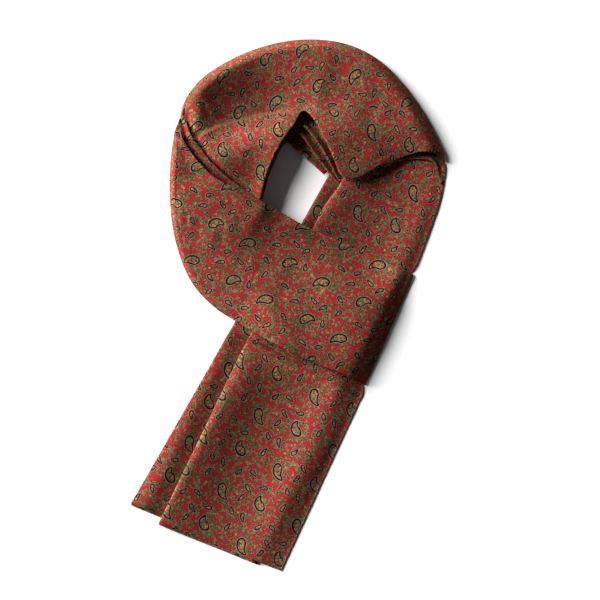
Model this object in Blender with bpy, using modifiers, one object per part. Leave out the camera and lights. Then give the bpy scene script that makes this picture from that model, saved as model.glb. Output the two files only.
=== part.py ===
"""A silk neck scarf, folded in half end to end and laid flat as a loop, both tails through its bight.

The laying plan is in millimetres from the upper left corner of the table, x to the right and y
down the plan, as the scarf is seen from above. Heights are in millimetres above the table. The
part's own frame has +X to the right, +Y up the plan and +Z up, with its origin in the middle of
the scarf's box, on the table.

The silk is folded lengthwise, so a stretch is a wall that holds both layers and the air between
them. The tails show their two layers at the hem, so each is one thin wall, bent back on itself.
"""

import math
from collections import namedtuple

import bmesh
import bpy
import numpy as np
from mathutils import Vector
from mathutils.bvhtree import BVHTree

MM = 0.001
COLLECTION = "silk_neck_scarf"
PLAN_CENTRE_X = 288.0
PLAN_CENTRE_Y = 304.85

# Thicknesses, in millimetres.
DOUBLE_WALL = 2.4
UNDER_WALL = 3.0
TAIL_WALL = 1.1
TAIL_AIR = 0.5
CLEARANCE = 0.4

# The cut of the silk: the folded band's upper and under layers.
UPPER_LAYER = 128.0
UNDER_LAYER = 105.0
HEM_DROP = 2.5
DROOP = 12.0

# Rolled edges, where the cloth turns down to the table.
BIGHT_END_RIM = 1.0
ROLL_STEPS = 5
FOOT = 0.3

# How far to each side a sheet feels what it lies on, and how high its search starts.
REACH = 14.0
REACH_RINGS = (0.35, 0.7, 1.0)
RING_PLACES = 8
SKY = 200.0

# How often a sheet's heights are evened out: loose over a narrow strip, stiff over a long one.
LOOSE = 1
DRAPED = 2
STIFF = 3

# Rows along each stretch, and where its columns lie as shares of the way across.
ROWS = {
    "hidden_bight": 8,
    "rear_tail": 16,
    "rear_rise": 12,
    "front_tail": 20,
    "front_rise": 16,
    "arc_under_floor": 18,
    "arc_under_middle": 22,
    "arc_under_upper": 30,
    "hidden_folds": 24,
    "neck_arc": 44,
    "crossing_under": 16,
    "crossing_band": 28,
}
RISE_SHARES = [0, 0.1, 0.2, 0.3, 0.4, 0.5, 0.6, 0.7, 0.8, 0.9, 1]
STRIP_SHARES = [0, 0.25, 0.5, 0.75, 1]
BAND_SHARES = [0, 0.05, 0.14, 0.27, 0.42, 0.58, 0.74, 0.88, 1]
LOAF_SHARES = [0, 0.04, 0.14, 0.3, 0.5, 0.7, 0.86, 0.96, 1]

# A tail's columns, in millimetres from the fold on its left.
TAIL_UPPER_AT = [1.4, 5, 14, 28, 45, 62, 80, 96, 105, 114, UPPER_LAYER]
TAIL_UNDER_AT = [UNDER_LAYER, 80, 52, 26, 8, 1.4]
TAIL_BEND_STEPS = 4

# A fold starts and ends a little way up its own height.
FOLD_START = 0.1

# How squarely the hidden folds' solid is rounded across and along.
LOAF_ACROSS = 6
LOAF_ALONG = 10

SILK_LIT = (0.42, 0.085, 0.07, 1.0)
SILK_SHADE = (0.30, 0.060, 0.055, 1.0)
SILK_HIDDEN = (0.22, 0.050, 0.045, 1.0)

# A row for each cross section: its two ends in plan, the underside's wanted heights there, and
# how far the outer edge rolls out on its way down to the table.
Section = namedtuple(
    "Section", "inner_x inner_y outer_x outer_y inner_z outer_z rim", defaults=[0.0, 0.0, 0.0]
)
Fold = namedtuple("Fold", "start_x start_y end_x end_y width height")

# The front strand, from its hem up to where the neck arc covers it: left edge, right edge.
FRONT_TAIL = [
    Section(159.5, 521.0, 281.3, 570.2),
    Section(205.5, 426.0, 324.5, 477.0),
    Section(240.0, 354.5, 357.6, 405.5),
    Section(249.0, 337.0, 363.4, 392.5),
    Section(256.0, 325.0, 362.0, 378.0),
    Section(268.0, 304.0, 371.0, 355.0),
    Section(282.0, 281.0, 384.0, 328.5),
]
FRONT_RISE = [
    Section(282.6, 280.0, 384.6, 327.3),
    Section(298.0, 255.0, 398.5, 294.0),
    Section(307.0, 239.0, 406.5, 277.0),
    Section(313.0, 228.0, 414.5, 267.0),
    Section(322.0, 210.0, 427.0, 236.0),
    Section(330.0, 198.0, 436.4, 210.0),
    Section(336.5, 189.5, 441.8, 190.0),
    Section(341.0, 182.0, 444.4, 176.0),
    Section(346.0, 173.0, 444.8, 166.5),
    Section(351.0, 164.0, 441.0, 158.0),
    Section(358.0, 152.0, 431.0, 147.0),
]
REAR_TAIL = [
    Section(131.6, 502.0, 243.0, 548.0),
    Section(169.5, 436.0, 290.0, 485.0),
    Section(203.5, 376.7, 326.0, 412.0),
    Section(235.5, 321.0, 350.0, 365.0),
    Section(268.0, 272.0, 366.0, 325.0),
]
REAR_RISE = [
    Section(268.6, 271.2, 366.6, 324.0),
    Section(301.0, 224.0, 392.0, 266.0),
    Section(314.0, 201.0, 412.0, 232.0),
    Section(327.0, 178.0, 424.0, 200.0),
    Section(338.0, 160.0, 426.0, 172.0),
]

# The bight's upper strand: edge towards the neck, outer edge.
CROSSING = [
    Section(180.0, 121.6, 177.8, 122.8, 17, 16, 0.8),
    Section(184.0, 140.0, 173.0, 142.0, 17, 15, 3.0),
    Section(190.0, 150.0, 171.0, 158.0, 18, 14, 5.0),
    Section(200.0, 163.0, 169.6, 180.0, 18, 13, 5.0),
    Section(212.0, 175.0, 170.2, 205.0, 18, 12, 5.0),
    Section(225.0, 184.0, 174.0, 235.0, 17, 11, 5.0),
    Section(240.0, 189.5, 183.0, 265.0, 15, 10, 5.0),
    Section(261.0, 201.0, 197.0, 290.0, 13, 9, 5.0),
    Section(280.0, 212.0, 218.0, 310.0, 10, 9, 4.0),
    Section(301.0, 224.0, 237.0, 321.5, 8, 9, 1.5),
    Section(318.0, 232.0, 262.0, 337.0, 6, 11, 1.0),
    Section(336.5, 240.0, 287.6, 350.5, 6, 12, 1.0),
    Section(362.0, 251.0, 313.0, 362.5, 6, 8, 1.0),
    Section(388.0, 262.5, 339.0, 372.0, 6, 6, 1.0),
    Section(410.7, 273.5, 362.8, 383.8, 6, 6, 1.0),
]
CROSSING_UNDER = [
    Section(183.4, 110.5, 181.4, 112.0, 14, 13),
    Section(185.4, 121.0, 181.6, 121.6, 14, 12),
    Section(190.5, 133.0, 182.6, 137.5, 14, 11),
    Section(200.0, 147.0, 184.5, 163.0, 13, 10),
    Section(210.0, 160.0, 188.0, 196.0, 13, 10),
    Section(225.0, 175.0, 200.0, 214.0, 13, 10),
    Section(240.0, 187.0, 216.0, 226.0, 12, 9),
    Section(254.0, 196.0, 234.0, 236.0, 10, 8),
]
HIDDEN_BIGHT = [
    Section(264.0, 208.0, 238.0, 300.0),
    Section(301.0, 229.0, 262.0, 331.0),
    Section(349.0, 250.0, 315.0, 358.0),
    Section(404.0, 274.0, 361.0, 377.0),
]

# The upper strand round the neck: edge along the hole, notch and pleat, then the outer rim.
NECK_ARC = [
    Section(252.0, 218.0, 208.0, 214.0, 9, 10, 3.0),
    Section(260.5, 200.5, 186.0, 186.0, 9, 12, 6.0),
    Section(265.0, 183.0, 181.6, 160.0, 9, 14, 9.0),
    Section(270.0, 168.0, 182.2, 135.0, 9, 16, 9.0),
    Section(275.5, 156.0, 181.8, 114.5, 9, 18, 9.0),
    Section(280.0, 147.0, 185.4, 99.5, 9, 20, 9.0),
    Section(285.0, 138.5, 196.2, 84.0, 10, 21, 9.0),
    Section(290.0, 131.0, 212.4, 70.4, 10, 21, 9.0),
    Section(295.0, 124.0, 233.5, 58.4, 10, 20, 9.0),
    Section(300.0, 114.5, 258.0, 48.2, 10, 19, 9.0),
    Section(305.0, 112.0, 285.0, 41.5, 10, 18, 9.0),
    Section(310.5, 116.5, 312.0, 39.4, 10, 17, 9.0),
    Section(316.0, 124.0, 338.0, 42.0, 10, 16, 9.0),
    Section(322.0, 136.0, 362.0, 50.0, 10, 15, 9.0),
    Section(328.0, 147.0, 384.0, 64.0, 10, 15, 9.0),
    Section(334.5, 162.0, 403.0, 83.5, 10, 14, 9.0),
    Section(341.0, 176.0, 416.5, 101.5, 10, 14, 8.0),
    Section(352.0, 180.0, 423.5, 112.0, 10, 13, 8.0),
    Section(371.0, 171.3, 429.3, 122.0, 10, 12, 6.0),
    Section(390.0, 162.6, 433.8, 130.5, 10, 11, 4.5),
    Section(406.0, 155.8, 437.6, 138.5, 10, 10, 3.5),
    Section(420.0, 152.2, 440.8, 145.5, 10, 10, 2.5),
    Section(431.0, 152.8, 443.0, 150.5, 10, 10, 1.5),
    Section(438.0, 155.6, 444.2, 156.4, 10, 10, 1.0),
    Section(442.6, 159.6, 445.0, 161.4, 10, 10, 0.8),
]

# The under strand's layered edges: edge towards the hole, hidden outer edge.
ARC_UNDER_FLOOR = [
    Section(262.5, 196.0, 236.0, 190.0),
    Section(271.5, 170.0, 247.0, 158.0),
    Section(285.5, 143.5, 265.0, 124.0),
    Section(296.0, 150.5, 302.0, 116.0),
    Section(311.0, 163.5, 333.0, 138.0),
    Section(324.0, 175.0, 344.0, 155.0),
]
ARC_UNDER_MIDDLE = [
    Section(262.5, 198.0, 234.0, 190.0),
    Section(272.0, 167.0, 245.0, 155.0),
    Section(285.0, 143.0, 262.0, 120.0),
    Section(291.0, 137.5, 284.0, 105.0),
    Section(298.0, 134.0, 304.0, 98.0),
    Section(305.0, 141.0, 324.0, 110.0),
    Section(316.0, 157.0, 338.0, 132.0),
    Section(328.0, 173.0, 349.0, 150.0),
    Section(338.0, 185.0, 362.0, 158.0),
]
ARC_UNDER_UPPER = [
    Section(262.5, 199.5, 232.0, 190.0),
    Section(272.5, 165.0, 242.0, 152.0),
    Section(284.0, 142.5, 258.0, 117.0),
    Section(290.0, 130.5, 279.0, 99.0),
    Section(299.0, 124.5, 304.0, 91.0),
    Section(307.0, 130.5, 330.0, 102.0),
    Section(318.0, 144.5, 343.0, 123.0),
    Section(328.0, 161.0, 355.0, 140.0),
    Section(341.0, 182.5, 366.0, 151.0),
    Section(356.0, 182.0, 374.0, 150.0),
    Section(375.0, 172.0, 389.0, 147.0),
    Section(395.0, 164.0, 404.0, 148.0),
    Section(414.0, 159.5, 418.0, 150.5),
    Section(430.5, 161.0, 430.5, 153.5),
    Section(435.5, 166.0, 440.0, 157.5),
    Section(438.0, 176.0, 443.6, 168.5),
    Section(440.0, 184.5, 443.2, 181.0),
]

# What fills the arc, as one rounded solid: the edge towards the hole, then the rim's side.
HIDDEN_FOLDS = [
    Section(228.0, 204.0, 205.0, 200.0, 7, 8),
    Section(230.0, 184.0, 198.0, 174.0, 11, 12),
    Section(238.0, 156.0, 199.0, 141.0, 11, 16),
    Section(249.0, 128.0, 201.0, 106.0, 11, 20),
    Section(262.0, 104.0, 220.0, 80.0, 11, 21),
    Section(278.0, 91.0, 253.0, 63.0, 11, 20),
    Section(302.0, 84.0, 290.0, 55.0, 11, 18),
    Section(327.0, 91.0, 333.0, 57.5, 11, 16),
    Section(349.0, 110.0, 367.0, 72.0, 11, 15),
    Section(365.0, 131.0, 393.0, 96.0, 11, 14),
    Section(380.0, 134.0, 402.0, 114.0, 9, 10),
]

# Large soft folds: where each runs, how wide it is and how high it stands.
ARC_FOLDS = [
    Fold(296.0, 116.0, 200.0, 139.0, 9.0, 5.0),
    Fold(290.0, 100.0, 205.0, 118.0, 10.0, -2.5),
    Fold(330.0, 60.0, 300.0, 100.0, 16.0, 2.0),
]
CROSSING_FOLDS = [
    Fold(205.0, 205.0, 262.0, 262.0, 14.0, 2.5),
    Fold(262.0, 300.0, 300.0, 352.0, 9.0, 2.5),
    Fold(300.0, 262.0, 345.0, 330.0, 16.0, 1.5),
]
TAIL_FOLDS = [
    Fold(168.0, 515.0, 262.0, 335.0, 7.0, 1.8),
    Fold(262.0, 545.0, 335.0, 400.0, 20.0, 1.6),
]
RISE_FOLDS = [
    Fold(345.0, 190.0, 318.0, 232.0, 7.0, 1.8),
    Fold(400.0, 180.0, 380.0, 260.0, 16.0, 1.5),
]
NO_FOLDS = []


def clear_scene():
    for item in list(bpy.data.objects):
        bpy.data.objects.remove(item, do_unlink=True)


def part_collection():
    collection = bpy.data.collections.new(COLLECTION)
    bpy.context.scene.collection.children.link(collection)
    return collection


def silk(name, colour):
    material = bpy.data.materials.new(name)
    material.use_nodes = True
    shader = material.node_tree.nodes["Principled BSDF"]
    shader.inputs["Base Color"].default_value = colour
    shader.inputs["Roughness"].default_value = 0.45
    shader.inputs["Metallic"].default_value = 0.0
    return material


def to_frame(x, y, z):
    """A point of the plan, in the part's frame and in metres."""
    return Vector(((x - PLAN_CENTRE_X) * MM, (PLAN_CENTRE_Y - y) * MM, z * MM))


def smooth_rows(rows, count):
    """The rows of a table read along a smooth curve, at equal steps of the middle line."""
    table = np.array(rows, float)
    middle = (table[:, 0:2] + table[:, 2:4]) / 2
    steps = np.sqrt(np.hypot(*np.diff(middle, axis=0).T) + 1e-6)
    knots = np.concatenate([[0.0], np.cumsum(steps)])
    slopes = np.gradient(table, knots, axis=0)
    read = []
    for at in np.linspace(0.0, knots[-1], count):
        row = min(int(np.searchsorted(knots, at, side="right")) - 1, len(table) - 2)
        span = knots[row + 1] - knots[row]
        t = (at - knots[row]) / span
        start = (2 * t**3 - 3 * t**2 + 1) * table[row]
        start_slope = (t**3 - 2 * t**2 + t) * span * slopes[row]
        end = (-2 * t**3 + 3 * t**2) * table[row + 1]
        end_slope = (t**3 - t**2) * span * slopes[row + 1]
        read.append(start + start_slope + end + end_slope)
    return np.array(read)


def lay_out(sections, rows, shares):
    """Points between the two edges of each section: plan x, plan y and the wanted height."""
    table = smooth_rows(sections, rows)
    share = np.array(shares)[None, :, None]
    inner = table[:, None, [0, 1, 4]]
    outer = table[:, None, [2, 3, 5]]
    return inner * (1 - share) + outer * share


def lay_out_rimmed(sections, rows, shares):
    """The same, with the outer edge drawn in by its rim and its wall. The rims come second."""
    table = smooth_rows(sections, rows)
    run = table[:, 0:2] - table[:, 2:4]
    run /= np.linalg.norm(run, axis=1)[:, None]
    rims = table[:, 6]
    table[:, 2:4] += run * (rims + DOUBLE_WALL)[:, None]
    share = np.array(shares)[None, :, None]
    inner = table[:, None, [0, 1, 4]]
    outer = table[:, None, [2, 3, 5]]
    return inner * (1 - share) + outer * share, rims


def fold_height(x, y, folds):
    """The soft ridges and troughs at a place, which die away towards both ends of each fold."""
    height = np.zeros_like(x)
    for fold in folds:
        run_x = fold.end_x - fold.start_x
        run_y = fold.end_y - fold.start_y
        length = math.hypot(run_x, run_y)
        along = ((x - fold.start_x) * run_x + (y - fold.start_y) * run_y) / length**2
        side = ((x - fold.start_x) * run_y - (y - fold.start_y) * run_x) / length
        inside = np.clip(along * (1 - 2 * FOLD_START) + FOLD_START, 0, 1)
        ends = np.sin(math.pi * inside)
        height += fold.height * ends * np.exp(-((side / fold.width) ** 2))
    return height


def neighbour_average(heights):
    padded = np.pad(heights, 1, mode="edge")
    return (padded[:-2, 1:-1] + padded[2:, 1:-1] + padded[1:-1, :-2] + padded[1:-1, 2:]) / 4


def top_under(x, y, below):
    """The highest point of the solids below a place of the plan, in millimetres, or the table."""
    highest = 0.0
    for tree in below:
        place = tree.ray_cast(to_frame(x, y, SKY), Vector((0.0, 0.0, -1.0)))[0]
        if place is not None:
            highest = max(highest, place.z / MM + CLEARANCE)
    return highest


def ring_offsets(reach):
    """Places round a point, at which a sheet feels what it lies on."""
    offsets = [(0.0, 0.0)]
    for ring in REACH_RINGS:
        for turn in range(RING_PLACES):
            angle = turn * 2 * math.pi / RING_PLACES
            offsets.append((ring * reach * math.cos(angle), ring * reach * math.sin(angle)))
    return offsets


def support_under(points, below, reach):
    """The least height of a sheet's underside at each of its points."""
    support = np.zeros(points.shape[:2])
    for i, j in np.ndindex(support.shape):
        x, y = points[i, j, :2]
        support[i, j] = max(top_under(x + dx, y + dy, below) for dx, dy in ring_offsets(reach))
    return support


def settle(points, below, folds, passes):
    """Lets a sheet down on what it lies on: it bridges each step and keeps clear of it."""
    support = support_under(points, below, REACH)
    wanted = points[:, :, 2] + fold_height(points[:, :, 0], points[:, :, 1], folds)
    heights = np.maximum(support, wanted)
    for _ in range(passes):
        heights = np.maximum(support, neighbour_average(heights))
    points[:, :, 2] = heights
    return points


def roll_columns(points, radii, below):
    """Adds columns past the last one that turn down in a quarter round, to the table or a tail."""
    last = points[:, -1]
    out = last[:, :2] - points[:, -2, :2]
    out /= np.linalg.norm(out, axis=1)[:, None]
    columns = []
    for step in range(1, ROLL_STEPS + 1):
        angle = step / ROLL_STEPS * math.pi / 2
        place = last[:, :2] + out * (radii * math.sin(angle))[:, None]
        height = last[:, 2] - (last[:, 2] - FOOT) * (1 - math.cos(angle))
        columns.append(np.column_stack([place, height])[:, None, :])
    rolled = np.concatenate(columns, axis=1)
    rolled[:, :, 2] = np.maximum(rolled[:, :, 2], support_under(rolled, below, REACH))
    return np.concatenate([points, rolled], axis=1)


def roll_end(points, radius, below):
    """Adds rows past the last one that turn down in the same way."""
    turned = points.transpose(1, 0, 2)
    turned = roll_columns(turned, np.full(len(turned), radius), below)
    return turned.transpose(1, 0, 2)


def grid_mesh(name, points):
    """A grid whose vertices are laid at the given points, with its faces looking up."""
    rows, columns = points.shape[:2]
    mesh = bpy.data.meshes.new(name)
    sheet = bmesh.new()
    bmesh.ops.create_grid(sheet, x_segments=rows - 1, y_segments=columns - 1, size=1.0)
    for vertex in sheet.verts:
        i = round((vertex.co.x + 1) / 2 * (rows - 1))
        j = round((vertex.co.y + 1) / 2 * (columns - 1))
        vertex.co = to_frame(*points[i, j])
    middle = points[rows // 2 - 1 : rows // 2 + 1, columns // 2 - 1 : columns // 2 + 1]
    along = middle[1, 0] - middle[0, 0]
    across = middle[0, 1] - middle[0, 0]
    if along[0] * across[1] - along[1] * across[0] > 0:
        bmesh.ops.reverse_faces(sheet, faces=sheet.faces)
    sheet.to_mesh(mesh)
    sheet.free()
    return mesh


def add_node(collection, name, mesh, material):
    mesh.materials.append(material)
    mesh.shade_smooth()
    node = bpy.data.objects.new(name, mesh)
    collection.objects.link(node)
    return node


def add_wall(collection, name, points, thickness, material, offset=1.0):
    """A sheet with its thickness: offset 1 puts it all above the points, 0 half on each side."""
    node = add_node(collection, name, grid_mesh(name, points), material)
    wall = node.modifiers.new("wall", "SOLIDIFY")
    wall.thickness = thickness * MM
    wall.offset = offset
    return node


def tree_of(node):
    """The finished solid, for finding its top."""
    bpy.context.view_layer.update()
    graph = bpy.context.evaluated_depsgraph_get()
    return BVHTree.FromObject(node, graph)


def add_tail(collection, name, sections, below, folds, material):
    """A tail folded lengthwise: an under layer, the fold on the left and the upper layer."""
    rows = ROWS[name]
    upper_at = np.array(TAIL_UPPER_AT)
    under_at = np.array(TAIL_UNDER_AT)
    upper = settle(lay_out(sections, rows, upper_at / UPPER_LAYER), below, NO_FOLDS, STIFF)
    under = lay_out(sections, rows, under_at / UPPER_LAYER)
    for row in range(rows):
        under[row, :, 2] = np.interp(under_at, upper_at, upper[row, :, 2])
    lift = fold_height(upper[:, :, 0], upper[:, :, 1], folds)
    drooping = np.clip((upper_at - UNDER_LAYER) / DROOP, 0, 1)
    air = (TAIL_WALL + TAIL_AIR) * (1 - drooping)
    upper[:, :, 2] += TAIL_WALL / 2 + air[None, :] + np.maximum(lift, 0)
    under[:, :, 2] += TAIL_WALL / 2
    hem = under[0, :, :2] - under[1, :, :2]
    hem /= np.linalg.norm(hem, axis=1)[:, None]
    under[0, :, :2] += hem * HEM_DROP
    out = upper[:, 0, :2] - upper[:, 1, :2]
    out /= np.linalg.norm(out, axis=1)[:, None]
    bend = []
    for step in range(1, TAIL_BEND_STEPS):
        angle = step / TAIL_BEND_STEPS * math.pi
        rise = (1 - math.cos(angle)) / 2
        point = under[:, -1] * (1 - rise) + upper[:, 0] * rise
        point[:, :2] += out * math.sin(angle) * (TAIL_WALL + TAIL_AIR) / 2
        bend.append(point[:, None, :])
    points = np.concatenate([under] + bend + [upper], axis=1)
    return add_wall(collection, name, points, TAIL_WALL, material, offset=0.0)


def add_loaf(collection, name, sections, material):
    """A low rounded solid with a flat underside, which fills out hidden folds."""
    rows = ROWS[name]
    points = lay_out(sections, rows, LOAF_SHARES)
    across = np.sqrt(np.clip(1 - (2 * np.array(LOAF_SHARES) - 1) ** LOAF_ACROSS, 0, 1))
    along = np.sqrt(np.clip(1 - np.linspace(-1, 1, rows) ** LOAF_ALONG, 0, 1))
    points[:, :, 2] *= along[:, None] * across[None, :]
    mesh = grid_mesh(name, points)
    solid = bmesh.new()
    solid.from_mesh(mesh)
    rim = [edge for edge in solid.edges if edge.is_boundary]
    bmesh.ops.contextual_create(solid, geom=rim)
    bmesh.ops.recalc_face_normals(solid, faces=solid.faces)
    solid.to_mesh(mesh)
    solid.free()
    return add_node(collection, name, mesh, material)


def add_sheet(collection, name, sections, shares, below, folds, passes, thickness, material):
    """A stretch that is one wall, let down on the solids below it. Returns its own tree."""
    points = settle(lay_out(sections, ROWS[name], shares), below, folds, passes)
    return tree_of(add_wall(collection, name, points, thickness, material))


def add_tails(collection, bight, shade, lit):
    """Both strands of the scarf's two ends, the rear one first. Returns their tails and rises."""
    below = [bight]
    rear_tail = tree_of(add_tail(collection, "rear_tail", REAR_TAIL, below, NO_FOLDS, shade))
    rear_rise = add_sheet(
        collection, "rear_rise", REAR_RISE, RISE_SHARES, below, NO_FOLDS, STIFF, DOUBLE_WALL, shade
    )
    below = [bight, rear_tail, rear_rise]
    front_tail = tree_of(add_tail(collection, "front_tail", FRONT_TAIL, below, TAIL_FOLDS, lit))
    front_rise = add_sheet(
        collection, "front_rise", FRONT_RISE, RISE_SHARES, below, RISE_FOLDS, STIFF, DOUBLE_WALL, lit
    )
    return [rear_tail, front_tail], [rear_rise, front_rise]


def add_under_strand(collection, rises, colours):
    """The three layered edges that show in the hole, each on those below it."""
    below = list(rises)
    tables = [ARC_UNDER_FLOOR, ARC_UNDER_MIDDLE, ARC_UNDER_UPPER]
    names = ["arc_under_floor", "arc_under_middle", "arc_under_upper"]
    for name, table, colour in zip(names, tables, colours):
        tree = add_sheet(
            collection, name, table, STRIP_SHARES, below, NO_FOLDS, LOOSE, UNDER_WALL, colour
        )
        below.append(tree)
    return below


def add_neck_arc(collection, below, material):
    points, rims = lay_out_rimmed(NECK_ARC, ROWS["neck_arc"], BAND_SHARES)
    points = roll_columns(settle(points, below, ARC_FOLDS, DRAPED), rims, [])
    return tree_of(add_wall(collection, "neck_arc", points, DOUBLE_WALL, material))


def add_crossing(collection, below, tails, material):
    points, rims = lay_out_rimmed(CROSSING, ROWS["crossing_band"], BAND_SHARES)
    points = roll_columns(settle(points, below, CROSSING_FOLDS, DRAPED), rims, tails)
    points = roll_end(points, BIGHT_END_RIM, [])
    add_wall(collection, "crossing_band", points, DOUBLE_WALL, material)


def build():
    clear_scene()
    collection = part_collection()
    lit = silk("silk_lit", SILK_LIT)
    shade = silk("silk_shade", SILK_SHADE)
    hidden = silk("silk_hidden", SILK_HIDDEN)

    bight_points = lay_out(HIDDEN_BIGHT, ROWS["hidden_bight"], RISE_SHARES)
    bight = tree_of(add_wall(collection, "hidden_bight", bight_points, DOUBLE_WALL, hidden))
    tails, rises = add_tails(collection, bight, shade, lit)

    below = add_under_strand(collection, rises, [hidden, shade, lit])
    below.append(tree_of(add_loaf(collection, "hidden_folds", HIDDEN_FOLDS, hidden)))
    arc = add_neck_arc(collection, below, lit)

    under = add_sheet(
        collection,
        "crossing_under",
        CROSSING_UNDER,
        STRIP_SHARES,
        [arc],
        NO_FOLDS,
        LOOSE,
        DOUBLE_WALL,
        shade,
    )
    add_crossing(collection, [arc, under, bight] + tails + rises, tails, lit)


build()
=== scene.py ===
"""A printed silk neck scarf, folded in half and laid flat as a loop, as it looks from above.

The laying plan is in millimetres, as in the part's source: x to the right and y down the plan.
Every stretch of the silk is a folded sheet on its solid, with the print laid on it flat.
"""

import math
from collections import namedtuple
from functools import reduce

import bpy
import numpy as np
from bpy.props import FloatProperty, FloatVectorProperty, PointerProperty
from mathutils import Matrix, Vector, noise
from mathutils.bvhtree import BVHTree


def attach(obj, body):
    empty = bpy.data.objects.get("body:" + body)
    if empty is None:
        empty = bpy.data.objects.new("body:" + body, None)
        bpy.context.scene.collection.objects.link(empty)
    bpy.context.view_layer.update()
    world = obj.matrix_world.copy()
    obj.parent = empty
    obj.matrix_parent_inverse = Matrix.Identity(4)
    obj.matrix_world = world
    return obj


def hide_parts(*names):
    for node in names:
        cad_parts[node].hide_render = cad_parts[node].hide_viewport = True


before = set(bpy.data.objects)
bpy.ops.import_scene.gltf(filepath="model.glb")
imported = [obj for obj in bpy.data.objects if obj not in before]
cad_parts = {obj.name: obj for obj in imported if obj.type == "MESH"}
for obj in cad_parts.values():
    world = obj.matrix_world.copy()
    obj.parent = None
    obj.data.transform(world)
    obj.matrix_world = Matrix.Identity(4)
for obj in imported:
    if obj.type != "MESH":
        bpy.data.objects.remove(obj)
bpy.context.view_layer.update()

bl_info = {
    "name": "Silk neck scarf",
    "version": (1, 0, 0),
    "blender": (4, 5, 0),
    "location": "View3D > Sidebar > Scarf",
    "description": "Lays a printed silk neck scarf on its solids",
    "category": "Object",
}

MM = 0.001
PLAN_CENTRE_X = 288.0
PLAN_CENTRE_Y = 304.85
BODY = "root"
PRINT_NAME = "printed_silk_twill"
THREAD_NAME = "sewing_thread"

# Thicknesses of the solids' walls, in millimetres.
DOUBLE_WALL = 2.4
STRIP_WALL = 3.0
TAIL_WALL = 1.1
# A height over the whole pile, from which the solids' tops are looked for.
SKY = 200.0

# The tails' two layers, in millimetres from the fold, where their first columns are, how far
# the under layer's hem lies past the upper one's, and the radius of their fold.
UPPER_LAYER = 128.0
UNDER_LAYER = 105.0
FIRST_COLUMN = 1.2
HEM_DROP = 2.5
TAIL_FOLD = 1.1
# The least heights of a tail's two layers.
UPPER_LEAST = 0.5
UNDER_LEAST = 0.55

# Columns round a fold, and the degrees through which a hem, a rim and the bight's end turn.
FOLD_COLUMNS = 5
HEM_TURN = (40, 80, 120, 165, 200)
RIM_TURN = (12, 24, 36, 48, 60, 72, 81, 90)
END_TURN = (15, 30, 45, 60, 75, 90)
# The crossing's rim turns by these shares of a right angle, and its free edge by twice as much.
ROLL_SHARES = (0.13, 0.27, 0.4, 0.53, 0.67, 0.8, 0.9, 1.0)

# The most of a stretch's width that its fold and its rim take, how much of it the under layer
# has, and how high that lies over the solid's underside, in millimetres.
MOST_FOLD = 0.2
MOST_RIM = 0.6
UNDER_SHARE = 0.8
UNDER_LIFT = 0.6
# So many of a strip's last columns dip to its hem, by so many millimetres.
EDGE_COLUMNS = 6
EDGE_DIP = 0.4
# How high over the table a rim ends, and the hidden folds lie at least, in millimetres.
FOOT = 0.6

# The hidden folds are pressed to this share of their height. Then their under layer's height
# and their fold's radius, in millimetres.
FOLDS_LEFT = 0.35
FOLDS_UNDER = 1.0
FOLDS_RADIUS = 1.2

# Along the crossing the edge is free where the rim is narrower than the first of these, and
# rolled where it is wider than the second. Then the free edge's drop and reach, the reach of
# the bight's end and its least drop, all in millimetres.
FREE_RIM = 1.5
ROLLED_RIM = 3.0
FREE_DROP = 1.3
FREE_REACH = 1.6
END_REACH = 3.4
LEAST_DROP = 0.1

# The size and the height of the silk's slight unevenness, in millimetres.
BAND_RUMPLE = (17.0, 0.5)
TAIL_RUMPLE = (19.0, 0.4)

# The tables' rows: where a stretch's inner and outer edge lie in plan, and how wide the rim is
# that rolls down along its outer edge.
Section = namedtuple("Section", "inner_x inner_y outer_x outer_y rim", defaults=[0.0])

FRONT_TAIL = [
    (159.5, 521, 281.3, 570.2),
    (205.5, 426, 324.5, 477),
    (240, 354.5, 357.6, 405.5),
    (249, 337, 363.4, 392.5),
    (256, 325, 362, 378),
    (268, 304, 371, 355),
    (282, 281, 384, 328.5),
]
FRONT_RISE = [
    (282.6, 280, 384.6, 327.3),
    (298, 255, 398.5, 294),
    (307, 239, 406.5, 277),
    (313, 228, 414.5, 267),
    (322, 210, 427, 236),
    (330, 198, 436.4, 210),
    (336.5, 189.5, 441.8, 190),
    (341, 182, 444.4, 176),
    (346, 173, 444.8, 166.5),
    (351, 164, 441, 158),
    (358, 152, 431, 147),
]
REAR_TAIL = [
    (131.6, 502, 243, 548),
    (169.5, 436, 290, 485),
    (203.5, 376.7, 326, 412),
    (235.5, 321, 350, 365),
    (268, 272, 366, 325),
]
REAR_RISE = [
    (268.6, 271.2, 366.6, 324),
    (301, 224, 392, 266),
    (314, 201, 412, 232),
    (327, 178, 424, 200),
    (338, 160, 426, 172),
]
CROSSING = [
    (180.6, 119, 179.4, 119.6, 0.4),
    (184, 140, 173, 142, 3),
    (190, 150, 171, 158, 5),
    (200, 163, 169.6, 180, 5),
    (212, 175, 170.2, 205, 5),
    (225, 184, 174, 235, 5),
    (240, 189.5, 183, 265, 5),
    (261, 201, 197, 290, 5),
    (280, 212, 218, 310, 4),
    (301, 224, 237, 321.5, 1.5),
    (318, 232, 262, 337, 1),
    (336.5, 240, 287.6, 350.5, 1),
    (362, 251, 313, 362.5, 1),
    (388, 262.5, 339, 372, 1),
    (410.7, 273.5, 362.8, 383.8, 1),
]
CROSSING_UNDER = [
    (184.8, 108.5, 183.6, 110),
    (186, 121, 182.2, 122),
    (190.5, 133, 182.6, 137.5),
    (200, 147, 184.5, 163),
    (210, 160, 188, 196),
    (225, 175, 200, 214),
    (240, 187, 216, 226),
    (254, 196, 234, 236),
]
HIDDEN_BIGHT = [
    (264, 208, 238, 300),
    (301, 229, 262, 331),
    (349, 250, 315, 358),
    (404, 274, 361, 377),
]
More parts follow.
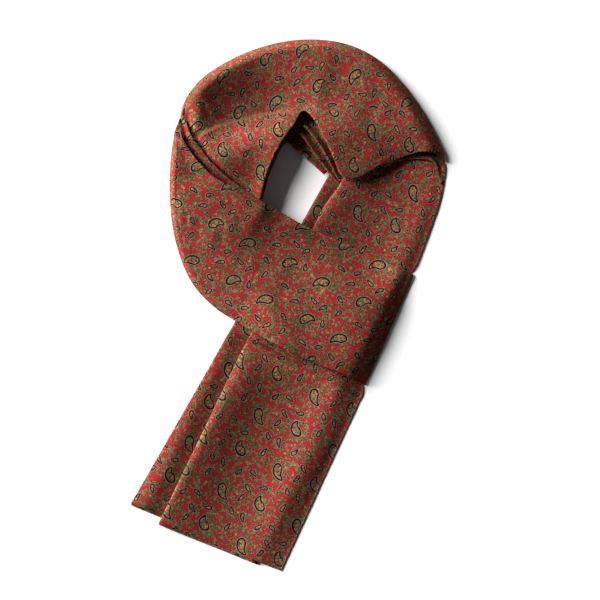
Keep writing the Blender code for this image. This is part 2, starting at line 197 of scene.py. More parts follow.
NECK_ARC = [
    (252, 218, 208, 214, 3),
    (260.5, 200.5, 186, 186, 6),
    (265, 183, 178.4, 160, 9),
    (270, 168, 178.6, 135, 9),
    (275.5, 156, 180.4, 115.5, 9),
    (280, 147, 185.4, 99.5, 9),
    (285, 138.5, 196.2, 84, 9),
    (290, 131, 212.4, 70.4, 9),
    (295, 124, 233.5, 58.4, 9),
    (300, 114.5, 258, 48.2, 9),
    (305, 112, 285, 41.5, 9),
    (310.5, 116.5, 312, 39.4, 9),
    (316, 124, 338, 42, 9),
    (322, 136, 362, 50, 9),
    (328, 147, 384, 64, 9),
    (334.5, 162, 403, 83.5, 9),
    (341, 176, 416.5, 101.5, 8),
    (352, 180, 423.5, 112, 8),
    (371, 171.3, 429.3, 122, 6),
    (390, 162.6, 433.8, 130.5, 4.5),
    (406, 155.8, 437.6, 138.5, 3.5),
    (420, 152.2, 440.8, 145.5, 2.5),
    (431, 152.8, 443, 150.5, 1.5),
    (438, 155.6, 444.2, 156.4, 1),
    (442.6, 159.6, 445, 161.4, 0.8),
]
ARC_UNDER_FLOOR = [
    (262.5, 196, 236, 190),
    (271.5, 170, 247, 158),
    (285.5, 143.5, 265, 124),
    (296, 150.5, 302, 116),
    (311, 163.5, 333, 138),
    (324, 175, 344, 155),
]
ARC_UNDER_MIDDLE = [
    (262.5, 198, 234, 190),
    (272, 167, 245, 155),
    (285, 143, 262, 120),
    (291, 137.5, 284, 105),
    (298, 134, 304, 98),
    (305, 141, 324, 110),
    (316, 157, 338, 132),
    (328, 173, 349, 150),
    (338, 185, 362, 158),
]
ARC_UNDER_UPPER = [
    (262.5, 199.5, 232, 190),
    (272.5, 165, 242, 152),
    (284, 142.5, 258, 117),
    (290, 130.5, 279, 99),
    (299, 124.5, 304, 91),
    (307, 130.5, 330, 102),
    (318, 144.5, 343, 123),
    (328, 161, 355, 140),
    (341, 182.5, 366, 151),
    (356, 182, 374, 150),
    (375, 172, 389, 147),
    (395, 164, 404, 148),
    (414, 159.5, 418, 150.5),
    (430.5, 161, 430.5, 153.5),
    (435.5, 166, 440, 157.5),
    (438, 176, 443.6, 168.5),
    (440, 184.5, 443.2, 181),
]
HIDDEN_FOLDS = [
    (228, 204, 205, 200),
    (230, 184, 198, 174),
    (238, 156, 199, 141),
    (249, 128, 201, 106),
    (262, 104, 220, 80),
    (278, 91, 253, 63),
    (302, 84, 290, 55),
    (327, 91, 333, 57.5),
    (349, 110, 367, 72),
    (365, 131, 393, 96),
    (380, 134, 402, 114),
]

# Creases of the silk: a bent line in plan, the height at its crest and its reach to each side.
# A line is read at so many points, and a crease fades to its ends by a power of a sine.
LINE_POINTS = 13
CREASE_ENDS = 0.7
Crease = namedtuple(
    "Crease", "start_x start_y mid_x mid_y end_x end_y height left_reach right_reach"
)

ARC_CREASES = [
    Crease(292, 111, 252, 111, 206, 121, -2.5, 20, 5),
    Crease(318, 48, 330, 70, 312, 104, 1.0, 14, 16),
    Crease(372, 62, 362, 100, 340, 150, 0.9, 12, 18),
    Crease(304, 108, 326, 146, 348, 190, 3.4, 15, 8),
    Crease(332, 190, 385, 164, 446, 148, 2.6, 16, 5),
    Crease(250, 185, 236, 168, 205, 158, 1.2, 8, 14),
    Crease(192, 164, 244, 148, 306, 116, 3.2, 17, 26),
    Crease(258, 214, 268, 176, 294, 130, 4.5, 15, 6),
    Crease(184, 108, 200, 168, 264, 203, -4.5, 4, 12),
]
CROSSING_UNDER_CREASES = [
    Crease(180, 114, 190, 178, 262, 203, -2.6, 3, 8),
]
CROSSING_CREASES = [
    Crease(178, 114, 214, 202, 316, 236, 2.4, 4, 8),
    Crease(196, 176, 228, 238, 276, 296, 2.4, 26, 40),
    Crease(250, 296, 284, 318, 300, 350, 1.4, 9, 16),
    Crease(238, 320, 298, 350, 356, 375, 4.2, 16, 4.5),
    Crease(300, 262, 330, 290, 352, 332, 1.2, 14, 22),
    Crease(352, 262, 372, 290, 380, 330, -0.9, 12, 14),
    Crease(181, 150, 190, 172, 204, 190, -1.2, 5, 8),
    Crease(403, 244, 381, 308, 345, 382, 3.8, 18, 80),
]
TAIL_CREASES = [
    Crease(147, 553, 207, 437, 263, 327, 6.4, 12, 40),
    Crease(268, 546, 300, 480, 338, 404, 0.9, 14, 22),
    Crease(214, 520, 246, 452, 284, 372, -0.9, 18, 18),
    Crease(262, 372, 300, 376, 346, 392, 0.8, 12, 14),
]
REAR_CREASES = [
    Crease(125, 547, 184, 427, 238, 323, 5.0, 14, 13),
    Crease(160, 506, 190, 450, 226, 388, 0.7, 10, 14),
]
REAR_RISE_CREASES = [
    Crease(338, 160, 316, 197, 293, 240, 6.0, 20, 5),
    Crease(284, 216, 310, 228, 336, 240, -3.5, 4, 12),
]
RISE_CREASES = [
    Crease(362, 148, 342, 190, 311, 238, 7.6, 60, 10),
    Crease(418, 172, 404, 214, 384, 262, 0.9, 12, 16),
    Crease(362, 192, 350, 214, 338, 238, -0.9, 10, 12),
    Crease(292, 219, 355, 248, 428, 281, -4.0, 5, 12),
]

# Where the whole pile of layers lies lower, or higher for a share below nothing: a bent line
# in plan, the share of the height lost there and its reach to each side. All sheets follow
# them, so that they keep their order.
Hollow = namedtuple(
    "Hollow",
    "start_x start_y mid_x mid_y end_x end_y share left_reach right_reach fade",
    defaults=[0.2],
)

HOLLOWS = [
    Hollow(200, 612, 266, 468, 320, 356, 0.74, 44, 20),
    Hollow(250, 640, 330, 464, 432, 240, 0.80, 8, 30),
    Hollow(226, 332, 270, 350, 340, 392, 0.60, 4, 13),
    Hollow(436, 146, 402, 215, 356, 292, 0.78, 30, 50),
    Hollow(440, 226, 402, 328, 356, 430, 0.70, 14, 20),
    Hollow(400, 320, 440, 220, 448, 130, 0.70, 10, 20),
    Hollow(190, 164, 200, 106, 322, 110, 0.82, 40, 22, 0.45),
    Hollow(300, 190, 270, 262, 268, 340, -0.20, 24, 46),
    Hollow(348, 20, 420, 70, 452, 170, 0.58, 13, 9),
    Hollow(162, 112, 181, 116, 200, 120, 0.7, 16, 16, 0.45),
]
# However deep a hollow is, about this share of the height is left in it.
LEAST_LEFT = 0.22
# The cloth nowhere lies lower than the first height, nor is it pressed below the second.
LOWEST = (0.2, 0.5)

# The ridge where the upper strand folds over itself, from the notch round to the crossing.
RIDGE = [
    (301.0, 112.0),
    (285.0, 112.5),
    (265.0, 114.0),
    (250.0, 118.0),
    (235.0, 121.5),
    (220.0, 125.5),
    (205.0, 133.0),
    (196.0, 140.0),
    (182.0, 156.0),
]
# The height of the ridge's step, how far it fades out above and below it, and how soft its
# edge is, in millimetres. It grows over the first share of its length, and the under layer
# keeps clear of it by some columns.
RIDGE_STEP = 6.0
RIDGE_ABOVE = 60.0
RIDGE_BELOW = 24.0
RIDGE_SOFT = 1.2
RIDGE_FADE = 0.25
RIDGE_GUARD = 5
# The arc's print inside the ridge: its turn and where a motif lies. It changes over this far.
INNER_PRINT = (65, 261.0, 170.0)
RIDGE_BLEND = 0.6

# The share of their height to which the under strand's layers sink, and how far their folded
# edges stand up from there, in millimetres, with the reach of that.
SLUMP = 0.25
CURL = 5.6
CURL_REACH = 3.6

# The shares of the given length that a stitch has at least and at most, the seed of that, and
# the faces of one stitch.
STITCH_LEAST = 0.8
STITCH_MOST = 1.15
STITCH_SEED = 72
STITCH_SEGMENTS = 8
STITCH_RINGS = 5

# Each stretch: its table and creases, its grid's rows and columns, a number for its unevenness,
# the turn of its print and where a large motif's round end lies in plan, its solid's wall, the
# under layer's columns and how often its heights are softened.
Stretch = namedtuple(
    "Stretch",
    "sections creases rows columns seed turn motif_at wall unders passes",
    defaults=[DOUBLE_WALL, 14, 10],
)

STRETCHES = {
    "hidden_bight": Stretch(HIDDEN_BIGHT, [], 60, 50, 3.1, -28, (251.5, 243.5)),
    "hidden_folds": Stretch(HIDDEN_FOLDS, [], 150, 30, 4.7, 18, (277.8, 100.7), passes=6),
    "rear_tail": Stretch(REAR_TAIL, REAR_CREASES, 130, 74, 1.3, 62, (190, 440), TAIL_WALL, 18, 6),
    "front_tail": Stretch(
        FRONT_TAIL, TAIL_CREASES, 150, 74, 2.9, 64, (258.9, 412.6), TAIL_WALL, 18, 6
    ),
    "rear_rise": Stretch(REAR_RISE, REAR_RISE_CREASES, 70, 60, 5.2, 60, (318, 210)),
    "front_rise": Stretch(FRONT_RISE, RISE_CREASES, 110, 70, 6.4, 65, (358, 210)),
    "arc_under_floor": Stretch(ARC_UNDER_FLOOR, [], 110, 34, 8.3, 20, (290, 120), STRIP_WALL),
    "arc_under_middle": Stretch(ARC_UNDER_MIDDLE, [], 140, 34, 9.1, 20, (300, 128), STRIP_WALL),
    "arc_under_upper": Stretch(ARC_UNDER_UPPER, [], 220, 34, 7.7, 20, (310, 124), STRIP_WALL),
    "neck_arc": Stretch(NECK_ARC, ARC_CREASES, 230, 84, 11.3, 18, (277.8, 100.7), unders=34),
    "crossing_under": Stretch(
        CROSSING_UNDER, CROSSING_UNDER_CREASES, 130, 22, 12.7, -40, (200, 140)
    ),
    "crossing_band": Stretch(CROSSING, CROSSING_CREASES, 210, 80, 13.9, -28, (251.5, 243.5)),
}

# Print, in millimetres of silk. A motif has its place in the repeat, the turn of its tip in
# degrees, the radius of its round end, its length from there and how far its tip bends aside.
# Every second cell of the repeat holds all of them.
Motif = namedtuple("Motif", "x y turn radius length bend")

REPEAT = 41.5
LARGE = [
    Motif(0.0, 0.0, -176.0, 4.2, 12.5, -8.4),
    Motif(1.0, 41.0, 74.0, 4.3, 10.6, 8.8),
]
SMALL = [
    Motif(-20.0, 6.0, 6.0, 1.9, 6.6, 2.2),
    Motif(-22.0, 23.5, 54.0, 2.0, 5.2, 2.2),
    Motif(-11.5, 25.5, -166.0, 1.9, 7.0, -2.0),
    Motif(-19.5, 42.5, 172.0, 1.8, 6.4, 1.8),
    Motif(7.0, 20.0, -46.0, 2.0, 5.6, -2.0),
    Motif(21.5, 12.0, -146.0, 1.9, 7.2, -2.8),
    Motif(19.5, 27.0, -95.0, 1.9, 6.0, 2.0),
    Motif(39.0, 18.0, 128.0, 2.0, 5.4, 2.0),
]
# The degrees by which the lattice of the repeat is turned on the silk.
LATTICE_TURN = 45
# The share of its radius by which a motif narrows to its tip, and how far from its outline
# cream, navy and its filling begin, in millimetres.
TIP_NARROWING = 0.78
SMALL_LINES = (0.85, 0.55, -0.7)
LARGE_LINES = (1.05, 0.7, -0.9)
# More leaves grow round a place beside each large motif, fewer from the first reach outwards.
CLOUD_BELOW = 2.0
CLOUD_REACH = (7.0, 12.0)

# Cells to a millimetre of the leaves, their clusters, the specks and the flowers, and the
# scales of the noise that pushes the leaves about and breaks up the clusters.
LEAF_CELLS = 0.56
CLUSTER_CELLS = 0.12
SPECK_CELLS = 0.55
FLOWER_CELLS = 0.12
WOBBLE_SCALE = 0.42
WOBBLE = 4.5
CLUMP_SCALE = 0.21
CLUMP_DETAIL = 0.6
# How far each colour reaches from the middle of a cell, in parts of a cell.
GROUND_SPECK = 0.24
LEAF_EDGE = 0.66
LEAF = 0.44
LEAF_HEART = 0.14
FLOWER_EDGE = 0.19
FLOWER_EYE = 0.085
ORANGE_FLOWER = 0.13
FILL_DOT = 0.5
FILL_EDGE = 0.55
# From where, or up to where, a cell's own number from 0 to 1 makes it what its name says.
CLUSTER_FROM = 0.175
GREEN_FROM = 0.6
HEART_FROM = 0.72
ROUND_UP_TO = 0.5
ORANGE_FROM = 0.92
FILL_GREEN_UP_TO = 0.34
FILL_ORANGE_FROM = 0.82
# What noise, a near motif and chance add to the growth of a cluster, and a near motif to green.
CLUMP_ADDS = 1.3
NEAR_ADDS = 0.22
CHANCE_ADDS = 0.12
NEAR_GREENS = 0.2
# The scale of the twill's waves, on a place in millimetres, and their depth in metres.
TWILL_SCALE = 0.5
TWILL_DEPTH = 0.00008
# The silk's least roughness and by how much the clusters' noise raises it.
ROUGHNESS = 0.6
ROUGHNESS_RISE = 0.12

# The stage, in metres, the camera's sensor in millimetres, and where in the plan it looks.
FLOOR_REACH = 3.0
FLOOR_HEIGHT = -0.0002
KEY_PLACE = (-2.09, 1.21, 0.76)
EYE_HEIGHT = 3.0
SENSOR_WIDTH = 36.0
VIEW_CENTRE = 300.0


def length_setting(name, description, default):
    """A length in metres that a user may change."""
    return FloatProperty(
        name=name, description=description, default=default, unit="LENGTH", subtype="DISTANCE"
    )


def colour_setting(name, description, red, green, blue):
    """A colour that a user may change."""
    return FloatVectorProperty(
        name=name,
        description=description,
        default=(red, green, blue, 1.0),
        subtype="COLOR",
        size=4,
    )


class ScarfCloth(bpy.types.PropertyGroup):
    thickness: length_setting("Thickness", "Thickness of one layer of silk", 0.00045)
    fold_radius: length_setting("Fold radius", "Radius of a soft folded edge", 0.0009)
    hem_radius: length_setting("Hem radius", "Radius of the rolled hem", 0.0008)
    stitch_spacing: length_setting(
        "Stitch spacing", "Distance from one hem stitch to the next", 0.0045
    )
    stitch_length: length_setting("Stitch length", "Length of a hem stitch that shows", 0.0012)
    thread: length_setting("Thread", "Thickness of the sewing thread", 0.00028)


class ScarfPrint(bpy.types.PropertyGroup):
    ground: colour_setting("Ground", "Red ground of the print", 0.25, 0.016, 0.020)
    shade: colour_setting("Leaf edges", "Dark red brown round the leaves", 0.055, 0.018, 0.012)
    tan: colour_setting("Tan", "Tan leaves and scrolls", 0.18, 0.104, 0.058)
    green: colour_setting("Green", "Olive green leaves", 0.068, 0.084, 0.030)
    navy: colour_setting("Navy", "Outline of the motifs", 0.004, 0.004, 0.010)
    cream: colour_setting("Cream", "Thin line round the motifs", 0.26, 0.16, 0.095)
    orange: colour_setting("Orange", "Small flowers", 0.33, 0.14, 0.04)
    thread: colour_setting("Thread", "Sewing thread of the hems", 0.16, 0.02, 0.02)


class ScarfStage(bpy.types.PropertyGroup):
    floor: colour_setting("Floor", "Colour of the pale floor", 0.86, 0.86, 0.86)
    key_power: FloatProperty(
        name="Key light",
        description="Strength of the soft key light, which comes from the upper left",
        default=16.4,
    )
    key_angle: FloatProperty(
        name="Key softness",
        description="How wide the key light looks from the scarf",
        default=math.radians(40),
        subtype="ANGLE",
    )
    fill_strength: FloatProperty(
        name="Fill",
        description="Strength of the even light all round",
        default=0.055,
    )
    lens: FloatProperty(
        name="Lens",
        description="Focal length of the camera, in millimetres",
        default=180.0,
    )


# Laying the silk.


def to_frame(points):
    """Points of the plan, in the part's frame and in metres."""
    placed = np.array(points, float)
    placed[..., 0] = (placed[..., 0] - PLAN_CENTRE_X) * MM
    placed[..., 1] = (PLAN_CENTRE_Y - placed[..., 1]) * MM
    placed[..., 2] *= MM
    return placed


def smooth_rows(rows, count):
    """The rows of a table read along a smooth curve, at equal steps of the middle line."""
    table = np.array([Section(*row) for row in rows], float)
    middle = (table[:, 0:2] + table[:, 2:4]) / 2
    steps = np.sqrt(np.hypot(*np.diff(middle, axis=0).T) + 1e-6)
    knots = np.concatenate([[0.0], np.cumsum(steps)])
    slopes = np.gradient(table, knots, axis=0)
    read = []
    for at in np.linspace(0.0, knots[-1], count):
        row = min(int(np.searchsorted(knots, at, side="right")) - 1, len(table) - 2)
        span = knots[row + 1] - knots[row]
        t = (at - knots[row]) / span
        start = (2 * t**3 - 3 * t**2 + 1) * table[row]
        start_slope = (t**3 - 2 * t**2 + t) * span * slopes[row]
        end = (-2 * t**3 + 3 * t**2) * table[row + 1]
        end_slope = (t**3 - t**2) * span * slopes[row + 1]
        read.append(start + start_slope + end + end_slope)
    return np.array(read)


def laid_out(table, shares):
    """Places of the plan between a table's two edges, at shares of the way across."""
    shares = shares[None, :, None]
    return table[:, None, 0:2] * (1 - shares) + table[:, None, 2:4] * shares


def unit(vectors):
    return vectors / np.maximum(np.linalg.norm(vectors, axis=-1, keepdims=True), 1e-9)


def smoothstep(value, low, high):
    t = np.clip((value - low) / (high - low), 0.0, 1.0)
    return t * t * (3 - 2 * t)


def node_tree(name):
    """A search tree of a solid's surface."""
    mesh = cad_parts[name].data
    corners = [vertex.co for vertex in mesh.vertices]
    faces = [tuple(face.vertices) for face in mesh.polygons]
    return BVHTree.FromPolygons(corners, faces)


def tops(tree, points):
    """The solid's highest point under each place of the plan, in millimetres, or nothing there."""
    places = to_frame(np.dstack([points, np.full(points.shape[:2], SKY)]))
    heights = np.full(points.shape[:2], np.nan)
    down = Vector((0.0, 0.0, -1.0))
    for i, j in np.ndindex(heights.shape):
        hit = tree.ray_cast(Vector(places[i, j]), down)[0]
        if hit is not None:
            heights[i, j] = hit.z / MM
    return heights


def fill_gaps(heights):
    """Heights that are missing, read from the nearest ones across the row, or from the last row."""
    columns = np.arange(heights.shape[1])
    filled = heights.copy()
    for i, row in enumerate(filled):
        known = ~np.isnan(row)
        if known.any():
            filled[i] = np.interp(columns, columns[known], row[known])
        elif i:
            filled[i] = filled[i - 1]
    for i in range(len(filled) - 2, -1, -1):
        if np.isnan(filled[i]).any():
            filled[i] = filled[i + 1]
    return filled


def neighbours(heights):
    """The heights of each place's four neighbours, as four grids."""
    padded = np.pad(heights, 1, mode="edge")
    return [padded[:-2, 1:-1], padded[2:, 1:-1], padded[1:-1, :-2], padded[1:-1, 2:]]


def soften(heights, passes):
    for _ in range(passes):
        heights = sum(neighbours(heights)) / 8 + heights / 2
    return heights


def minimum_filter(heights, reach):
    """The lowest height within a few places of each."""
    lowest = heights
    for _ in range(reach):
        lowest = np.minimum.reduce([lowest, *neighbours(lowest)])
    return lowest


def crease_line(crease):
    """A crease's bent line as short straight ones."""
    start = np.array([crease.start_x, crease.start_y], float)
    middle = np.array([crease.mid_x, crease.mid_y], float)
    end = np.array([crease.end_x, crease.end_y], float)
    t = np.linspace(0, 1, LINE_POINTS)[:, None]
    return start * (1 - t) ** 2 + 2 * middle * t * (1 - t) + end * t**2


def along_line(points, line):
    """For each point: its signed distance from the line, and its share of the way along it."""
    line = np.array(line, float)
    starts, runs = line[:-1], np.diff(line, axis=0)
    lengths = np.linalg.norm(runs, axis=1)
    passed = np.concatenate([[0.0], np.cumsum(lengths)])
    nearest = np.full(points.shape[:2], 1e9)
    side = np.zeros(points.shape[:2])
    share = np.zeros(points.shape[:2])
    for start, run, length, before in zip(starts, runs, lengths, passed):
        away = points - start
        t = np.clip((away @ run) / length**2, 0, 1)
        distance = np.linalg.norm(away - t[..., None] * run, axis=-1)
        turned = np.sign(away[..., 1] * run[0] - away[..., 0] * run[1])
        closer = distance < nearest
        nearest = np.where(closer, distance, nearest)
        side = np.where(closer, distance * turned, side)
        share = np.where(closer, (before + t * length) / passed[-1], share)
    return side, share


def bell(points, crease):
    """How much of a crease or hollow is at each point, by its distance, and its share along."""
    side, share = along_line(points, crease_line(crease))
    reach = np.where(side > 0, crease.right_reach, crease.left_reach)
    return np.exp(-((side / reach) ** 2)), share


def crease_heights(points, creases):
    heights = np.zeros(points.shape[:2])
    for crease in creases:
        near, share = bell(points, crease)
        ends = np.sin(math.pi * np.clip(share, 0, 1)) ** CREASE_ENDS
        heights += crease.height * ends * near
    return heights


def rumple(points, size, height, seed):
    """Slight unevenness of laid silk, in millimetres."""
    heights = np.zeros(points.shape[:2])
    for i, j in np.ndindex(heights.shape):
        x, y = points[i, j]
        heights[i, j] = noise.noise(Vector((x / size, y / size, seed)))
    return heights * height


def print_place(points, turn, motif_x, motif_y):
    """Where the flat silk lies on the print, in metres.

    The stretch is laid at a turn, with a large motif's round end at a place of the plan.
    """
    angle = math.radians(turn)
    x = (points[..., 0] - motif_x) * MM
    y = (motif_y - points[..., 1]) * MM
    across = x * math.sin(angle) - y * math.cos(angle)
    along = x * math.cos(angle) + y * math.sin(angle)
    return np.stack([across, along], axis=-1)


class Layout:
    """A sheet's grid while it is laid: its points, and where each was on the flat silk."""

    def __init__(self, points, flat):
        self.points = points
        self.flat = flat

    def join_before(self, points, flat):
        self.points = np.concatenate([points, self.points], axis=1)
        self.flat = np.concatenate([flat, self.flat], axis=1)

    def join_after(self, points, flat):
        self.points = np.concatenate([self.points, points], axis=1)
        self.flat = np.concatenate([self.flat, flat], axis=1)

    def turned(self):
        return Layout(self.points.transpose(1, 0, 2), self.flat.transpose(1, 0, 2))


def edge_out(points):
    """The way out over the last column's edge, in plan."""
    return unit(points[:, -1, :2] - points[:, -4, :2])


def roll_over(layout, across, drop, angles):
    """Adds columns past the last one, turned down round a soft edge."""
    last = layout.points[:, -1]
    flat = layout.flat[:, -1]
    out = edge_out(layout.points)
    columns = []
    flats = []
    for angle in angles:
        turn = angle * np.ones(len(last))
        place = last[:, :2] + out * (across * np.sin(turn))[:, None]
        height = last[:, 2] - drop * (1 - np.cos(turn))
        columns.append(np.column_stack([place, height])[:, None, :])
        flats.append((flat + out * ((across + drop) / 2 * turn)[:, None])[:, None, :])
    layout.join_after(np.concatenate(columns, axis=1), np.concatenate(flats, axis=1))


def fold_under(layout, under, radius):
    """Joins an under layer on the first column's side by a folded edge. It lists fold to far."""
    first = layout.points[:, 0]
    flat = layout.flat[:, 0]
    out = unit(first[:, :2] - layout.points[:, 3, :2])
    bend = []
    bend_flat = []
    for step in range(1, FOLD_COLUMNS + 1):
        angle = step / (FOLD_COLUMNS + 1) * math.pi
        place = first[:, :2] + out * radius * math.sin(angle)
        share = (1 - math.cos(angle)) / 2
        height = first[:, 2] * (1 - share) + under[:, 0, 2] * share
        bend.append(np.column_stack([place, height])[:, None, :])
        bend_flat.append((flat + out * radius * angle)[:, None, :])
    length = radius * math.pi
    away = np.linalg.norm(under[:, :, :2] - first[:, None, :2], axis=-1)
    under_flat = flat[:, None, :] + out[:, None, :] * (length + away)[..., None]
    layout.join_before(np.concatenate(bend[::-1], axis=1), np.concatenate(bend_flat[::-1], axis=1))
    layout.join_before(under[:, ::-1], under_flat[:, ::-1])


def roll_hem(layout):
    """Rolls the last column's edge into a narrow hem."""
    hem = bpy.context.scene.scarf_cloth.hem_radius / MM
    roll_over(layout, hem, hem, np.radians(HEM_TURN))


def sunk(points):
    """The points with their heights lowered into the hollows of the pile."""
    lowered = points.copy()
    left = np.ones(points.shape[:2])
    for hollow in HOLLOWS:
        near, along = bell(points[..., :2], hollow)
        inside = smoothstep(along, 0, hollow.fade) * (1 - smoothstep(along, 1 - hollow.fade, 1))
        left *= 1 - hollow.share * inside * near
    lowered[..., 2] *= np.hypot(left, LEAST_LEFT)
    lowered[..., 2] = np.maximum(lowered[..., 2], np.clip(points[..., 2], *LOWEST))
    return lowered


def sheet_object(stretch_name, layout, place_on_print):
    """The laid grid as one thin sheet of printed silk, its right side out."""
    name = stretch_name + "_silk"
    points = to_frame(sunk(layout.points))
    rows, columns = points.shape[:2]
    index = np.arange(rows * columns).reshape(rows, columns)
    corners = np.stack(
        [index[:-1, :-1], index[1:, :-1], index[1:, 1:], index[:-1, 1:]], axis=-1
    ).reshape(-1, 4)
    row, column = rows // 2 - 1, columns * 2 // 3
    along = layout.points[row + 1, column] - layout.points[row, column]
    across = layout.points[row, column + 1] - layout.points[row, column]
    if along[0] * across[1] - along[1] * across[0] > 0:
        corners = corners[:, ::-1]
    mesh = bpy.data.meshes.new(name)
    mesh.from_pydata(points.reshape(-1, 3).tolist(), [], corners.tolist())
    mesh.update()
    print_map = mesh.uv_layers.new(name="print")
    places = place_on_print(layout.flat).reshape(-1, 2)
    loops = np.empty(len(mesh.loops), np.int32)
    mesh.loops.foreach_get("vertex_index", loops)
    print_map.data.foreach_set("uv", places[loops].astype(np.float32).ravel())
    mesh.shade_smooth()
    mesh.materials.append(printed_silk())
    piece = bpy.data.objects.new(name, mesh)
    bpy.context.scene.collection.objects.link(piece)
    wall = piece.modifiers.new("silk", "SOLIDIFY")
    wall.thickness = bpy.context.scene.scarf_cloth.thickness
    wall.offset = -1.0
    wall.use_quality_normals = True
    return piece


def declare(piece, node):
    """Attaches a finished sheet to the body and hides the solid it was laid on."""
    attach(piece, BODY)
    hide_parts(node)


def under_columns(stretch):
    """The upper layer's columns under which the under layer has its own."""
    at = np.linspace(0, stretch.columns * UNDER_SHARE, stretch.unders)
    return np.unique(np.round(at).astype(int))


def band_layout(name, rimmed=False):
    """A stretch's upper layer on its solid, its under layer from the fold, and its rim's width."""
    stretch = STRETCHES[name]
    fold = bpy.context.scene.scarf_cloth.fold_radius / MM
    table = smooth_rows(stretch.sections, stretch.rows)
    run = unit(table[:, 2:4] - table[:, 0:2])
    width = np.linalg.norm(table[:, 2:4] - table[:, 0:2], axis=1)
    table[:, 0:2] += run * np.minimum(fold, width * MOST_FOLD)[:, None]
    rims = table[:, 4] + DOUBLE_WALL
    if rimmed:
        width = np.linalg.norm(table[:, 2:4] - table[:, 0:2], axis=1)
        rims = np.minimum(rims, width * MOST_RIM)
        table[:, 2:4] -= run * rims[:, None]
    plan = laid_out(table, np.linspace(0, 1, stretch.columns))
    heights = soften(fill_gaps(tops(node_tree(name), plan)), stretch.passes)
    uneven = rumple(plan, *BAND_RUMPLE, stretch.seed)
    raised = heights + crease_heights(plan, stretch.creases) + uneven
    upper = np.dstack([plan, raised])
    at = under_columns(stretch)
    under = np.dstack([plan, heights - stretch.wall + UNDER_LIFT])[:, at]
    under[:, :, 2] = np.minimum(under[:, :, 2], raised[:, at] - 2 * fold)
    return Layout(upper, plan.copy()), under, rims


def flat_print(name):
    """The print on a stretch that lies without a ridge."""
    stretch = STRETCHES[name]
    return lambda flat: print_place(flat, stretch.turn, *stretch.motif_at)


def strip(name, curled=False):
    """A plain stretch: folded on its first edge, with a narrow hem on the other.

    A curled one sinks, and only its folded edge still stands up.
    """
    layout, under, _ = band_layout(name)
    if curled:
        first = layout.points[:, :1, :2]
        for part in (layout.points, under):
            away = np.linalg.norm(part[..., :2] - first, axis=-1)
            part[..., 2] = part[..., 2] * SLUMP + CURL * np.exp(-((away / CURL_REACH) ** 2))
    layout.points[:, -EDGE_COLUMNS:, 2] -= np.linspace(0, EDGE_DIP, EDGE_COLUMNS)
    roll_hem(layout)
    fold_under(layout, under, bpy.context.scene.scarf_cloth.fold_radius / MM)
    return sheet_object(name, layout, flat_print(name))


def stitch_tree(thread_paint):
    """Geometry Nodes that set a row of short stitches along a line."""
    tree = bpy.data.node_groups.new("row of stitches", "GeometryNodeTree")
    inputs = {}
    tree.interface.new_socket("Line", in_out="INPUT", socket_type="NodeSocketGeometry")
    for name in ("Spacing", "Length", "Thread"):
        socket = tree.interface.new_socket(name, in_out="INPUT", socket_type="NodeSocketFloat")
        inputs[name] = socket.identifier
    seed = tree.interface.new_socket("Seed", in_out="INPUT", socket_type="NodeSocketInt")
    inputs["Seed"] = seed.identifier
    tree.interface.new_socket("Stitches", in_out="OUTPUT", socket_type="NodeSocketGeometry")
    nodes = {}
    kinds = {
        "given": "NodeGroupInput",
        "curve": "GeometryNodeMeshToCurve",
        "spaced": "GeometryNodeResampleCurve",
        "along": "GeometryNodeInputTangent",
        "turned": "FunctionNodeAlignRotationToVector",
        "uneven": "FunctionNodeRandomValue",
        "long": "ShaderNodeMath",
        "sized": "ShaderNodeCombineXYZ",
        "stitch": "GeometryNodeMeshUVSphere",
        "set": "GeometryNodeInstanceOnPoints",
        "real": "GeometryNodeRealizeInstances",
        "painted": "GeometryNodeSetMaterial",
        "made": "NodeGroupOutput",
    }
    for name, kind in kinds.items():
        nodes[name] = tree.nodes.new(kind)
    nodes["spaced"].mode = "LENGTH"
    nodes["turned"].axis = "X"
    nodes["long"].operation = "MULTIPLY"
    nodes["uneven"].data_type = "FLOAT"
    nodes["uneven"].inputs[2].default_value = STITCH_LEAST
    nodes["uneven"].inputs[3].default_value = STITCH_MOST
    nodes["stitch"].inputs["Segments"].default_value = STITCH_SEGMENTS
    nodes["stitch"].inputs["Rings"].default_value = STITCH_RINGS
    nodes["stitch"].inputs["Radius"].default_value = 0.5
    nodes["painted"].inputs["Material"].default_value = thread_paint
    links = [
        ("given", "Line", "curve", 0),
        ("curve", 0, "spaced", "Curve"),
        ("given", "Spacing", "spaced", "Length"),
        ("along", 0, "turned", "Vector"),
        ("given", "Seed", "uneven", "Seed"),
        ("given", "Length", "long", 0),
        ("uneven", 1, "long", 1),
        ("long", 0, "sized", 0),
        ("given", "Thread", "sized", 1),
        ("given", "Thread", "sized", 2),
        ("spaced", 0, "set", "Points"),
        ("stitch", "Mesh", "set", "Instance"),
        ("turned", 0, "set", "Rotation"),
        ("sized", 0, "set", "Scale"),
        ("set", 0, "real", 0),
        ("real", 0, "painted", 0),
        ("painted", 0, "made", 0),
    ]
    for start, output, end, socket in links:
        tree.links.new(nodes[start].outputs[output], nodes[end].inputs[socket])
    return tree, inputs


